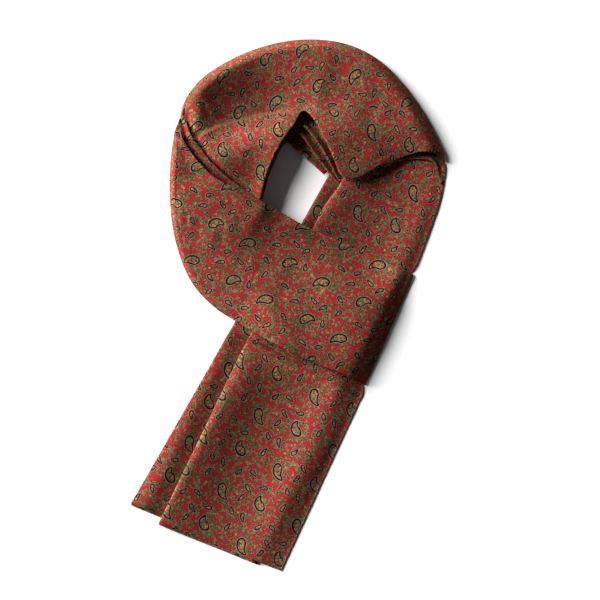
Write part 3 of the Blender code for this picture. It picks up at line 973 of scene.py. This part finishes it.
def hem_stitches(name, seam):
    """The stitches of a rolled hem, as a plain mesh, on a line over the silk."""
    cloth = bpy.context.scene.scarf_cloth
    seam = seam + np.array([0.0, 0.0, cloth.thread / 4])
    edges = [(at, at + 1) for at in range(len(seam) - 1)]
    line = bpy.data.meshes.new(name + "_seam")
    line.from_pydata(seam.tolist(), edges, [])
    row = bpy.data.objects.new(name + "_seam", line)
    bpy.context.scene.collection.objects.link(row)
    tree, inputs = stitch_tree(sewing_thread())
    sewing = row.modifiers.new("stitches", "NODES")
    sewing.node_group = tree
    sewing[inputs["Spacing"]] = cloth.stitch_spacing
    sewing[inputs["Length"]] = cloth.stitch_length
    sewing[inputs["Thread"]] = cloth.thread
    sewing[inputs["Seed"]] = STITCH_SEED
    graph = bpy.context.evaluated_depsgraph_get()
    mesh = bpy.data.meshes.new_from_object(row.evaluated_get(graph))
    row.modifiers.remove(sewing)
    bpy.data.objects.remove(row)
    stitches = bpy.data.objects.new(name + "_hem_stitches", mesh)
    bpy.context.scene.collection.objects.link(stitches)
    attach(stitches, BODY)
    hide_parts(name)
    return stitches


def tail(name):
    """A tail: under layer, the fold on its left, the upper layer, and a rolled hem below."""
    stretch = STRETCHES[name]
    hem = bpy.context.scene.scarf_cloth.hem_radius / MM
    table = smooth_rows(stretch.sections, stretch.rows)
    upper_at = np.linspace(FIRST_COLUMN, UPPER_LAYER - hem, stretch.columns)
    under_at = np.linspace(FIRST_COLUMN, UNDER_LAYER - hem, stretch.unders)
    plan = laid_out(table, upper_at / UPPER_LAYER)
    heights = soften(fill_gaps(tops(node_tree(name), plan)), stretch.passes)
    uneven = rumple(plan, *TAIL_RUMPLE, stretch.seed)
    raised = heights + crease_heights(plan, stretch.creases) + uneven
    layout = Layout(np.dstack([plan, raised]), plan.copy())
    under_heights = np.array([np.interp(under_at, upper_at, row) for row in heights])
    under_heights = np.maximum(under_heights - 2 * stretch.wall, UNDER_LEAST)
    under = np.dstack([laid_out(table, under_at / UPPER_LAYER), under_heights])
    drop = unit(under[0, :, :2] - under[2, :, :2])
    under[0, :, :2] += drop * HEM_DROP
    under[1, :, :2] += drop * HEM_DROP / 2
    roll_hem(layout)
    fold_under(layout, under, TAIL_FOLD)
    layout.points = layout.points[::-1]
    layout.flat = layout.flat[::-1]
    turned = layout.turned()
    roll_hem(turned)
    layout = turned.turned()
    layout.points[:, :, 2] = np.maximum(layout.points[:, :, 2], UPPER_LEAST)
    first = stretch.unders + FOLD_COLUMNS + 1
    seam = sunk(layout.points)[-len(HEM_TURN) - 2, first : first + stretch.columns - 2]
    stitches = hem_stitches(name, to_frame(seam))
    return sheet_object(name, layout, flat_print(name)), stitches


class SCARF_OT_hidden_layers(bpy.types.Operator):
    """Lays the silk that is out of sight under the crossing and the arc"""

    bl_idname = "scarf.hidden_layers"
    bl_label = "Hidden layers"

    def execute(self, context):
        declare(strip("hidden_bight"), "hidden_bight")
        layout, under, _ = band_layout("hidden_folds")
        layout.points[:, :, 2] *= FOLDS_LEFT
        under[:, :, 2] = FOLDS_UNDER
        fold_under(layout, under, FOLDS_RADIUS)
        layout.points[:, :, 2] = np.maximum(layout.points[:, :, 2], FOOT)
        folds = sheet_object("hidden_folds", layout, flat_print("hidden_folds"))
        declare(folds, "hidden_folds")
        return {"FINISHED"}


class SCARF_OT_tails(bpy.types.Operator):
    """Lays the two tails, folded lengthwise, with their rolled hems"""

    bl_idname = "scarf.tails"
    bl_label = "Tails"

    def execute(self, context):
        rear, sewn = tail("rear_tail")
        declare(rear, "rear_tail")
        front, sewn = tail("front_tail")
        declare(front, "front_tail")
        return {"FINISHED"}


class SCARF_OT_rises(bpy.types.Operator):
    """Lays both strands from the crossing up to the arc"""

    bl_idname = "scarf.rises"
    bl_label = "Strands to the arc"

    def execute(self, context):
        declare(strip("rear_rise"), "rear_rise")
        declare(strip("front_rise"), "front_rise")
        return {"FINISHED"}


class SCARF_OT_under_strand(bpy.types.Operator):
    """Lays the under strand's three folded edges inside the neck hole"""

    bl_idname = "scarf.under_strand"
    bl_label = "Under strand"

    def execute(self, context):
        stacked = [
            ("arc_under_floor", (0.05, 0.14)),
            ("arc_under_middle", (0.06, 0.18)),
            ("arc_under_upper", (0.05, 0.3)),
        ]
        for name, flat in stacked:
            piece = strip(name, curled=True)
            declare(piece, name)
        return {"FINISHED"}


def arc_print(flat):
    """The neck arc's print, which lies one way outside the ridge and another way inside it."""
    beyond, _ = along_line(flat, RIDGE)
    outer = flat_print("neck_arc")(flat)
    inner = print_place(flat, *INNER_PRINT)
    inside = smoothstep(-beyond, -RIDGE_BLEND, RIDGE_BLEND)[..., None]
    return outer * (1 - inside) + inner * inside


class SCARF_OT_neck_arc(bpy.types.Operator):
    """Lays the upper strand round the neck, with its ridge and its raised rim"""

    bl_idname = "scarf.neck_arc"
    bl_label = "Neck arc"

    def execute(self, context):
        fold = context.scene.scarf_cloth.fold_radius / MM
        layout, under, rims = band_layout("neck_arc", rimmed=True)
        side, share = along_line(layout.points[:, :, :2], RIDGE)
        above = np.exp(-((side / RIDGE_ABOVE) ** 2))
        step = np.where(side < 0, above, -np.exp(-side / RIDGE_BELOW))
        fade = smoothstep(share, 0.0, RIDGE_FADE)
        sharp = smoothstep(np.abs(side), 0, RIDGE_SOFT)
        layout.points[:, :, 2] += RIDGE_STEP / 2 * step * fade * sharp
        lowest = minimum_filter(layout.points[:, :, 2], RIDGE_GUARD) - 2 * fold
        under_at = under_columns(STRETCHES["neck_arc"])
        under[:, :, 2] = np.minimum(under[:, :, 2], lowest[:, under_at])
        drop = layout.points[:, -1, 2] - FOOT
        roll_over(layout, rims, drop, np.radians(RIM_TURN))
        fold_under(layout, under, fold)
        piece = sheet_object("neck_arc", layout, arc_print)
        declare(piece, "neck_arc")
        return {"FINISHED"}


class SCARF_OT_crossing(bpy.types.Operator):
    """Lays the bight's upper strand across both tails, and the under edge beside it"""

    bl_idname = "scarf.crossing"
    bl_label = "Crossing"

    def execute(self, context):
        declare(strip("crossing_under"), "crossing_under")
        layout, under, rims = band_layout("crossing_band", rimmed=True)
        rolled = smoothstep(rims, FREE_RIM + DOUBLE_WALL, ROLLED_RIM + DOUBLE_WALL)
        drop = (layout.points[:, -1, 2] - FOOT) * rolled + FREE_DROP * (1 - rolled)
        across = np.minimum(rims * rolled + FREE_REACH * (1 - rolled), rims)
        layout.points[:, -1, :2] += edge_out(layout.points) * (rims - across)[:, None]
        most = (1 + (1 - rolled)) * math.pi / 2
        roll_over(layout, across, drop, [most * share for share in ROLL_SHARES])
        fold_under(layout, under, context.scene.scarf_cloth.fold_radius / MM)
        turned = layout.turned()
        drop = np.maximum(turned.points[:, -1, 2] - FOOT, LEAST_DROP)
        roll_over(turned, END_REACH, drop, np.radians(END_TURN))
        piece = sheet_object("crossing_band", turned.turned(), flat_print("crossing_band"))
        declare(piece, "crossing_band")
        return {"FINISHED"}


# The print.


class Wire:
    """A value in a material's node tree, on which sums can be written."""

    def __init__(self, painter, socket):
        self.painter = painter
        self.socket = socket

    def sum(self, operation, *values):
        return self.painter.maths(operation, *values)

    def __add__(self, other):
        return self.sum("ADD", self, other)

    def __radd__(self, other):
        return self.sum("ADD", other, self)

    def __sub__(self, other):
        return self.sum("SUBTRACT", self, other)

    def __rsub__(self, other):
        return self.sum("SUBTRACT", other, self)

    def __mul__(self, other):
        return self.sum("MULTIPLY", self, other)

    def __lt__(self, other):
        return self.sum("LESS_THAN", self, other)

    def __gt__(self, other):
        return self.sum("GREATER_THAN", self, other)

    def at_least(self, other):
        return self.sum("MAXIMUM", self, other)

    def at_most(self, other):
        return self.sum("MINIMUM", self, other)

    def angle_from(self, other):
        return self.sum("ARCTAN2", self, other)

    def root(self):
        return self.sum("SQRT", self)


class Painter:
    """Makes the nodes of one material."""

    def __init__(self, name):
        self.material = bpy.data.materials.new(name)
        self.material.use_nodes = True
        self.tree = self.material.node_tree
        self.shader = self.tree.nodes["Principled BSDF"]

    def node(self, kind, settings=None, sockets=None):
        """A node with its settings, then the values or links of its sockets."""
        node = self.tree.nodes.new(kind)
        for setting, value in (settings or {}).items():
            setattr(node, setting, value)
        for socket, value in (sockets or {}).items():
            self.feed(node.inputs[socket], value)
        return node

    def feed(self, socket, value):
        if isinstance(value, Wire):
            self.tree.links.new(value.socket, socket)
        else:
            socket.default_value = value

    def finish(self, **values):
        """Feeds the shader's own sockets, whose names have underscores here."""
        for name, value in values.items():
            self.feed(self.shader.inputs[name.replace("_", " ")], value)

    def wire(self, node, output=0):
        return Wire(self, node.outputs[output])

    def maths(self, operation, *values):
        sockets = dict(enumerate(values))
        return self.wire(self.node("ShaderNodeMath", {"operation": operation}, sockets))

    def vectors(self, operation, *values):
        sockets = dict(enumerate(values))
        return self.wire(self.node("ShaderNodeVectorMath", {"operation": operation}, sockets))

    def turned(self, vector, degrees):
        """A vector turned in plan."""
        sockets = {"Vector": vector, "Angle": math.radians(degrees)}
        return self.wire(self.node("ShaderNodeVectorRotate", {"rotation_type": "Z_AXIS"}, sockets))

    def parts(self, vector):
        """The first and second part of a vector or colour."""
        node = self.node("ShaderNodeSeparateXYZ", None, {0: vector})
        return self.wire(node, 0), self.wire(node, 1)

    def mottle(self, place, scale, detail):
        sockets = {"Vector": place, "Scale": scale, "Detail": detail}
        return self.node("ShaderNodeTexNoise", {"noise_dimensions": "2D"}, sockets)

    def cells(self, place, scale, feature="F1"):
        """Uneven cells: by output, the distance in one, a colour of its own and its middle."""
        settings = {"voronoi_dimensions": "2D", "feature": feature}
        return self.node("ShaderNodeTexVoronoi", settings, {"Vector": place, "Scale": scale})

    def mix(self, share, first, second):
        """A colour between two, by a share from 0 to 1."""
        sockets = {0: share, 6: first, 7: second}
        return self.wire(self.node("ShaderNodeMix", {"data_type": "RGBA"}, sockets), 2)

    def ramp(self, value, low, high):
        """0 at low, 1 at high and smooth between."""
        node = self.node(
            "ShaderNodeMapRange",
            {"interpolation_type": "SMOOTHSTEP"},
            {"Value": value, "From Min": low, "From Max": high, "To Min": 0.0, "To Max": 1.0},
        )
        return self.wire(node)


def local_place(painter, place, motif):
    """Across and along a motif, in millimetres from the middle of its round end.

    The place is on the lattice turned by an eighth, in whose square cells the motifs repeat.
    """
    eighth = math.radians(LATTICE_TURN)
    across = (motif.x - motif.y) * math.cos(eighth)
    along = (motif.x + motif.y) * math.sin(eighth)
    half = REPEAT * math.sqrt(2) / 2
    moved = painter.vectors("SUBTRACT", place, (across, along, 0.0))
    wrapped = painter.vectors("WRAP", moved, (half, half, half), (-half, -half, -half))
    return painter.parts(painter.turned(wrapped, -(motif.turn + LATTICE_TURN)))


def outline_distance(motif, x, y):
    """Distance from a comma's outline in millimetres, less than nothing inside it.

    Its middle line runs round a circle, which the tip's bend gives, and it narrows to the tip.
    """
    circle = motif.length**2 / (2 * abs(motif.bend))
    beside = circle - x if motif.bend > 0 else circle + x
    aside = (beside * beside + y * y).root() - circle
    along = y.angle_from(beside) * circle
    level = (along * (1 / motif.length)).at_least(0.0).at_most(1.0)
    rest = along - level * motif.length
    reach = (aside * aside + rest * rest).root()
    return reach + level * level * (motif.radius * TIP_NARROWING) - motif.radius


def nearest_outline(motifs, places):
    """Distance from the nearest of some motifs' outlines."""
    return reduce(Wire.at_most, [outline_distance(m, *at) for m, at in zip(motifs, places)])


def leafy_ground(painter, place, cloud, speck, paint):
    """The red ground with its stippling, and the clusters of tan and green leaves on it."""
    wobble = painter.wire(painter.mottle(place, WOBBLE_SCALE, 1.0), 1)
    pushed = painter.vectors("SUBTRACT", wobble, (0.5, 0.5, 0.5))
    pushed = painter.vectors("MULTIPLY", pushed, (WOBBLE, WOBBLE, 0.0))
    leaves = painter.cells(painter.vectors("ADD", place, pushed), LEAF_CELLS)
    leaf = painter.wire(leaves, 0)
    kind, other_kind = painter.parts(painter.wire(leaves, 1))
    middle = painter.wire(leaves, 2)
    clump = painter.wire(painter.mottle(middle, CLUMP_SCALE, CLUMP_DETAIL))
    island = painter.wire(painter.cells(middle, CLUSTER_CELLS, "DISTANCE_TO_EDGE"))
    near = 1.0 - painter.ramp(cloud, *CLOUD_REACH)
    uneven = island + (clump - 0.5) * CLUMP_ADDS
    grows = uneven + near * NEAR_ADDS + kind * CHANCE_ADDS > CLUSTER_FROM
    colour = painter.mix(speck < GROUND_SPECK, paint["ground"], paint["shade"])
    colour = painter.mix(grows * (leaf < LEAF_EDGE), colour, paint["shade"])
    is_green = other_kind + near * NEAR_GREENS > GREEN_FROM
    leaf_paint = painter.mix(is_green, paint["tan"], paint["green"])
    colour = painter.mix(grows * (leaf < LEAF), colour, leaf_paint)
    has_heart = (leaf < LEAF_HEART) * (kind > HEART_FROM)
    return painter.mix(grows * has_heart, colour, paint["cream"]), clump


def printed_silk():
    """Printed silk twill. It is made once and shared by all stretches."""
    if PRINT_NAME in bpy.data.materials:
        return bpy.data.materials[PRINT_NAME]
    colours = bpy.context.scene.scarf_print
    paint = {name: tuple(getattr(colours, name)) for name in ScarfPrint.__annotations__}
    painter = Painter(PRINT_NAME)
    uv = painter.wire(painter.node("ShaderNodeUVMap", {"uv_map": "print"}))
    place = painter.vectors("MULTIPLY", uv, (1 / MM, 1 / MM, 0.0))

    lattice = painter.turned(place, LATTICE_TURN)
    large_places = [local_place(painter, lattice, motif) for motif in LARGE]
    small_places = [local_place(painter, lattice, motif) for motif in SMALL]
    large = nearest_outline(LARGE, large_places)
    small = nearest_outline(SMALL, small_places)
    below = [(x, y + CLOUD_BELOW) for x, y in large_places]
    cloud = reduce(Wire.at_most, [(x * x + y * y).root() for x, y in below])
    specks = painter.cells(place, SPECK_CELLS)
    speck = painter.wire(specks, 0)
    colour, clump = leafy_ground(painter, place, cloud, speck, paint)

    flowers = painter.cells(place, FLOWER_CELLS)
    flower = painter.wire(flowers, 0)
    flower_kind, _ = painter.parts(painter.wire(flowers, 1))
    is_round = flower_kind < ROUND_UP_TO
    is_orange = flower_kind > ORANGE_FROM
    colour = painter.mix((flower < FLOWER_EDGE) * is_round, colour, paint["green"])
    colour = painter.mix((flower < FLOWER_EYE) * is_round, colour, paint["navy"])
    colour = painter.mix((flower < ORANGE_FLOWER) * is_orange, colour, paint["orange"])

    speck_kind, _ = painter.parts(painter.wire(specks, 1))
    is_dot = speck < FILL_DOT
    fill = painter.mix(is_dot * (speck_kind < FILL_GREEN_UP_TO), paint["tan"], paint["green"])
    fill = painter.mix(is_dot * (speck_kind > FILL_ORANGE_FROM), fill, paint["orange"])
    fill = painter.mix(speck > FILL_EDGE, fill, paint["shade"])
    for distance, widths in ((small, SMALL_LINES), (large, LARGE_LINES)):
        for width, line in zip(widths, (paint["cream"], paint["navy"], fill)):
            colour = painter.mix(distance < width, colour, line)

    twill = painter.node(
        "ShaderNodeTexWave",
        {"wave_type": "BANDS", "bands_direction": "DIAGONAL"},
        {"Vector": place, "Scale": TWILL_SCALE, "Distortion": 0.6, "Detail": 1.0},
    )
    bump = painter.node(
        "ShaderNodeBump",
        None,
        {"Strength": 0.35, "Distance": TWILL_DEPTH, "Height": painter.wire(twill, 1)},
    )
    painter.finish(
        Base_Color=colour,
        Normal=painter.wire(bump),
        Roughness=ROUGHNESS + clump * ROUGHNESS_RISE,
        Specular_IOR_Level=0.0,
    )
    return painter.material


def sewing_thread():
    """Red sewing silk. It is made once and shared by both hems."""
    if THREAD_NAME in bpy.data.materials:
        return bpy.data.materials[THREAD_NAME]
    painter = Painter(THREAD_NAME)
    painter.finish(Base_Color=tuple(bpy.context.scene.scarf_print.thread), Roughness=0.5)
    return painter.material


# The stage.


class SCARF_OT_stage(bpy.types.Operator):
    """Makes the pale floor, the soft light and the camera straight above"""

    bl_idname = "scarf.stage"
    bl_label = "Stage"

    def execute(self, context):
        stage = context.scene.scarf_stage
        mesh = bpy.data.meshes.new("floor")
        signs = [(-1, -1), (1, -1), (1, 1), (-1, 1)]
        corners = [(FLOOR_REACH * x, FLOOR_REACH * y, FLOOR_HEIGHT) for x, y in signs]
        mesh.from_pydata(corners, [], [(0, 1, 2, 3)])
        floor = bpy.data.objects.new("floor", mesh)
        context.scene.collection.objects.link(floor)
        paint = Painter("floor")
        paint.finish(Base_Color=tuple(stage.floor), Roughness=0.9, Specular_IOR_Level=0.0)
        mesh.materials.append(paint.material)

        key = bpy.data.lights.new("key", "SUN")
        key.energy = stage.key_power
        key.angle = stage.key_angle
        lamp = bpy.data.objects.new("key", key)
        lamp.location = KEY_PLACE
        lamp.rotation_mode = "QUATERNION"
        lamp.rotation_quaternion = (-lamp.location).to_track_quat("-Z", "Y")
        context.scene.collection.objects.link(lamp)

        world = bpy.data.worlds.new("studio")
        world.use_nodes = True
        light = world.node_tree.nodes["Background"]
        light.inputs["Color"].default_value = (1.0, 1.0, 1.0, 1.0)
        light.inputs["Strength"].default_value = stage.fill_strength
        context.scene.world = world

        camera = bpy.data.cameras.new("camera")
        camera.lens = stage.lens
        camera.sensor_width = SENSOR_WIDTH
        eye = bpy.data.objects.new("camera", camera)
        x = (VIEW_CENTRE - PLAN_CENTRE_X) * MM
        y = (PLAN_CENTRE_Y - VIEW_CENTRE) * MM
        eye.location = (x, y, EYE_HEIGHT)
        context.scene.collection.objects.link(eye)
        context.scene.camera = eye
        context.scene.view_settings.view_transform = "Standard"
        return {"FINISHED"}


class SCARF_PT_panel(bpy.types.Panel):
    bl_idname = "SCARF_PT_panel"
    bl_label = "Silk neck scarf"
    bl_space_type = "VIEW_3D"
    bl_region_type = "UI"
    bl_category = "Scarf"

    def draw(self, context):
        layout = self.layout
        scene = context.scene
        for settings in (scene.scarf_cloth, scene.scarf_print, scene.scarf_stage):
            column = layout.column(align=True)
            for name in settings.__annotations__:
                column.prop(settings, name)
        for step in STEPS:
            layout.operator(step.bl_idname)


STEPS = [
    SCARF_OT_stage,
    SCARF_OT_hidden_layers,
    SCARF_OT_tails,
    SCARF_OT_rises,
    SCARF_OT_under_strand,
    SCARF_OT_neck_arc,
    SCARF_OT_crossing,
]
SETTINGS = [ScarfCloth, ScarfPrint, ScarfStage]


def register():
    for item in SETTINGS + STEPS + [SCARF_PT_panel]:
        bpy.utils.register_class(item)
    bpy.types.Scene.scarf_cloth = PointerProperty(type=ScarfCloth)
    bpy.types.Scene.scarf_print = PointerProperty(type=ScarfPrint)
    bpy.types.Scene.scarf_stage = PointerProperty(type=ScarfStage)


def unregister():
    del bpy.types.Scene.scarf_stage
    del bpy.types.Scene.scarf_print
    del bpy.types.Scene.scarf_cloth
    for item in reversed(SETTINGS + STEPS + [SCARF_PT_panel]):
        bpy.utils.unregister_class(item)


def main():
    register()
    bpy.ops.scarf.stage()
    bpy.ops.scarf.hidden_layers()
    bpy.ops.scarf.tails()
    bpy.ops.scarf.rises()
    bpy.ops.scarf.under_strand()
    bpy.ops.scarf.neck_arc()
    bpy.ops.scarf.crossing()


if __name__ == "__main__":
    main()
